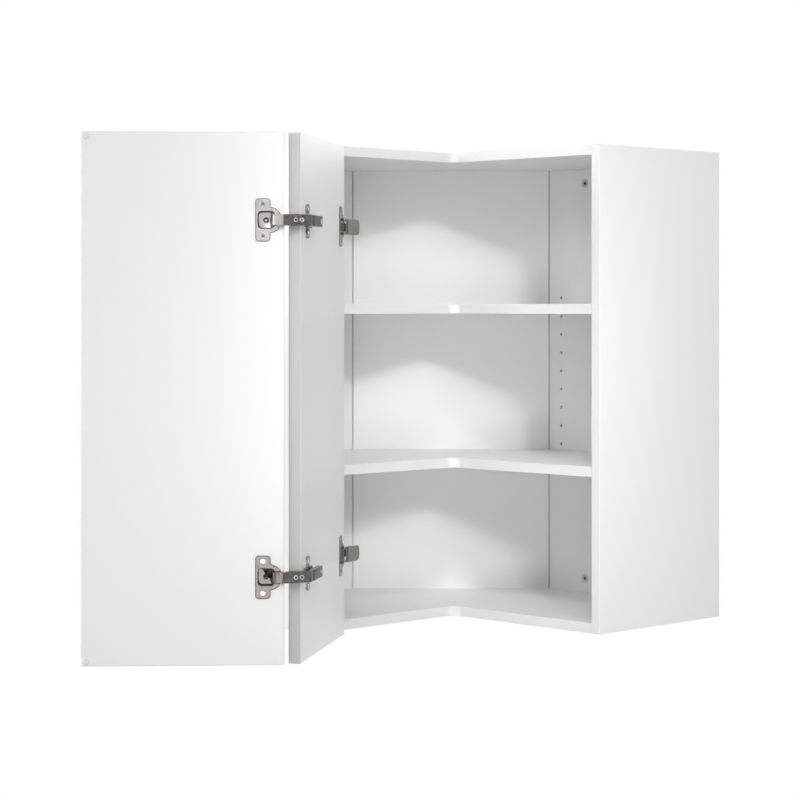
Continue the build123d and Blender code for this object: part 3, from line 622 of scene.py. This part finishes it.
def elbowCover(level):
    start = f"{level}_swing_hinge"
    ends = {}  # the two pins' end faces, by their heights: the tip's pin is the longer
    for vertex in nodes[f"{start}_elbow_pins"].data.vertices:
        ends.setdefault(round(vertex.co.z, 4), []).append(vertex.co.copy())
    heights = sorted(ends)
    middle = (heights[0] + heights[-1]) / 2
    knee, tip = (sum(ends[height], Vector()) / len(ends[height]) for height in (heights[-2], heights[-1]))
    along = Vector((tip.x - knee.x, tip.y - knee.y, 0)).normalized()
    across = Vector((-along.y, along.x, 0))
    length = cover["before"] + cover["reach"]
    piece = startBox((length, cover["thick"], cover["height"]),
                     (length / 2 - cover["before"], cover["back"] + cover["thick"] / 2, 0))

    def kneeCorner(edge):
        a, b = (piece.data.vertices[i].co for i in edge.vertices)
        return a.x < 0 and b.x < 0 and abs(a.y - b.y) > cover["thick"] / 2

    selectParts(piece, "EDGE", kneeCorner)
    bpy.ops.mesh.bevel(offset=cover["corner"], segments=cover["corner steps"])
    bpy.ops.object.mode_set(mode="OBJECT")
    soft = piece.modifiers.new("soft", "BEVEL")
    soft.width = cover["soft edge"]
    soft.segments = 2
    bpy.ops.object.modifier_apply(modifier="soft")
    turned = Matrix((along, across, upward)).transposed().to_4x4()
    piece.data.transform(Matrix.Translation((knee.x, knee.y, middle)) @ turned)
    piece.name = f"{start}_elbow_cover"
    piece.data.materials.append(finishes["link_grey"])
    smoothBy(35)
    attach(piece, bodyOf[f"{start}_elbow"])


for level in ("lower", "upper"):
    elbowCover(level)
print("elbow covers placed")


# the cams, on the faces of the boards that they are turned from

camBoards = {"middle": 0.384, "beyond": 0.372}  # beyond this from the middle height: the top and bottom boards


def camFace(place):
    if abs(place.z - camBoards["middle"]) > camBoards["beyond"]:
        return Vector((0, 0, 1 if place.z > camBoards["middle"] else -1))
    return Vector((0, -1, 0)) if place.x > -place.y else Vector((1, 0, 0))


for boards in ("back_board", "end_panel"):
    setCopies(masters["cam"], f"{boards}_cams", f"{boards}_cam_heads", facing=camFace)
for master in masters.values():
    bpy.data.objects.remove(master)
print("cams placed")


# floor and backdrop: white to the camera, in gloss and through glass, plain to every other ray

# the cabinet hangs on a wall, so the floor is well below it; what isn't its white share takes the shadows
studio = {"floor level": -1.4, "floor size": 30, "floor white": 1.03, "floor share": 0.95,
          "ambient": 0.42, "backdrop": 1.0}


def whiteRays(tree):
    rays = addNode(tree, "ShaderNodeLightPath")
    amount = rays.outputs["Is Camera Ray"]
    for ray in ("Is Glossy Ray", "Is Transmission Ray"):
        either = addNode(tree, "ShaderNodeMath", {"operation": "MAXIMUM"})
        tree.links.new(amount, either.inputs[0])
        tree.links.new(rays.outputs[ray], either.inputs[1])
        amount = either.outputs[0]
    return amount


def mixInto(tree, amount, plain, white, output):
    mix = addNode(tree, "ShaderNodeMixShader")
    tree.links.new(amount, mix.inputs[0])
    tree.links.new(plain.outputs[0], mix.inputs[1])
    tree.links.new(white.outputs[0], mix.inputs[2])
    tree.links.new(mix.outputs[0], tree.nodes[output].inputs["Surface"])


bpy.ops.mesh.primitive_plane_add(size=studio["floor size"], location=(0, 0, studio["floor level"]))
floor = bpy.context.object
floor.name = "studioFloor"
floorMaterial = bpy.data.materials.new("studioFloor")
floorMaterial.use_nodes = True
floorTree = floorMaterial.node_tree
floorShader = floorTree.nodes["Principled BSDF"]
floorShader.inputs["Base Color"].default_value = (0.8, 0.8, 0.8, 1)
floorShader.inputs["Roughness"].default_value = 0.9
glow = addNode(floorTree, "ShaderNodeEmission", Color=(1, 1, 1, 1), Strength=studio["floor white"])
share = addNode(floorTree, "ShaderNodeMath", {"operation": "MULTIPLY"})
share.inputs[1].default_value = studio["floor share"]
floorTree.links.new(whiteRays(floorTree), share.inputs[0])
mixInto(floorTree, share.outputs[0], floorShader, glow, "Material Output")
floor.data.materials.append(floorMaterial)

world = bpy.data.worlds.new("studio")
bpy.context.scene.world = world
world.use_nodes = True
worldTree = world.node_tree
ambient = worldTree.nodes["Background"]
ambient.inputs["Color"].default_value = (1, 1, 1, 1)
ambient.inputs["Strength"].default_value = studio["ambient"]
backdrop = addNode(worldTree, "ShaderNodeBackground", Color=(1, 1, 1, 1), Strength=studio["backdrop"])
mixInto(worldTree, whiteRays(worldTree), ambient, backdrop, "World Output")


# lamps and camera

cabinetMiddle = (0.35, -0.40, 0.38)
shelvesMiddle = (0.30, -0.30, 0.40)
lamps = {  # turn is measured from +X, rise from the level, reach from the aimed point; a cone makes a spot
    "frontFill": {"turn": -25, "rise": 25, "reach": 5, "size": 2.0, "power": 34, "aim": cabinetMiddle},
    "sideFill": {"turn": 50, "rise": 13, "reach": 5, "size": 2.0, "power": 25, "aim": cabinetMiddle},
    "highFill": {"turn": -80, "rise": 30, "reach": 5, "size": 2.0, "power": 60, "aim": cabinetMiddle},
    "wallFill": {"turn": 90, "rise": 15, "reach": 5, "size": 2.0, "power": 66, "aim": cabinetMiddle},
    "leftFill": {"turn": -125, "rise": 10, "reach": 5, "size": 2.0, "power": 80, "aim": cabinetMiddle},
    "insideTop": {"turn": -34, "rise": 20, "reach": 4, "size": 0.3, "power": 310, "cone": 8.4,
                  "aim": (0.28, -0.31, 0.62)},
    "insideLow": {"turn": -34, "rise": 20, "reach": 4, "size": 0.3, "power": 225, "cone": 8.4,
                  "aim": (0.28, -0.31, 0.14)},
    "bottomBoard": {"turn": -46, "rise": 40, "reach": 4, "size": 0.3, "power": 270, "cone": 9,
                    "aim": (0.30, -0.30, 0.14)},
    "underShelves": {"turn": -46, "rise": -8, "reach": 4, "size": 0.4, "power": 95, "cone": 15,
                     "aim": shelvesMiddle},
    "rightLeg": {"turn": -75, "rise": 5, "reach": 4, "size": 0.4, "power": 30, "cone": 14,
                 "aim": (0.42, -0.25, 0.36)},
}
spotBlend = 0.8
for name, lamp in lamps.items():
    light = bpy.data.lights.new(name, "SPOT" if "cone" in lamp else "AREA")
    light.energy = lamp["power"]
    if "cone" in lamp:
        light.shadow_soft_size = lamp["size"]
        light.spot_size = math.radians(lamp["cone"])
        light.spot_blend = spotBlend
    else:
        light.size = lamp["size"]
    turn, rise = math.radians(lamp["turn"]), math.radians(lamp["rise"])
    away = Vector((math.cos(rise) * math.cos(turn), math.cos(rise) * math.sin(turn), math.sin(rise)))
    holder = bpy.data.objects.new(name, light)
    holder.location = Vector(lamp["aim"]) + away * lamp["reach"]
    holder.rotation_euler = away.to_track_quat("Z", "Y").to_euler()
    bpy.context.scene.collection.objects.link(holder)

view = {"place": (2.9901, -3.1173, 0.5179), "heading": -46.31,  # from a fit to the photograph's edges
        "focal": 2335.2, "centre": (346.4, 303.7), "picture": 800, "sensor": 36}  # focal and centre in pixels
cameraData = bpy.data.cameras.new("photoCamera")
camera = bpy.data.objects.new("photoCamera", cameraData)
bpy.context.scene.collection.objects.link(camera)
camera.location = view["place"]
camera.rotation_euler = (math.radians(90), 0, math.radians(-view["heading"]))
cameraData.sensor_width = view["sensor"]
cameraData.lens = view["focal"] * view["sensor"] / view["picture"]
cameraData.shift_x = (view["picture"] / 2 - view["centre"][0]) / view["picture"]
cameraData.shift_y = (view["centre"][1] - view["picture"] / 2) / view["picture"]
bpy.context.scene.camera = camera
bpy.context.scene.view_settings.view_transform = "Standard"
print("stage, lamps and camera set")
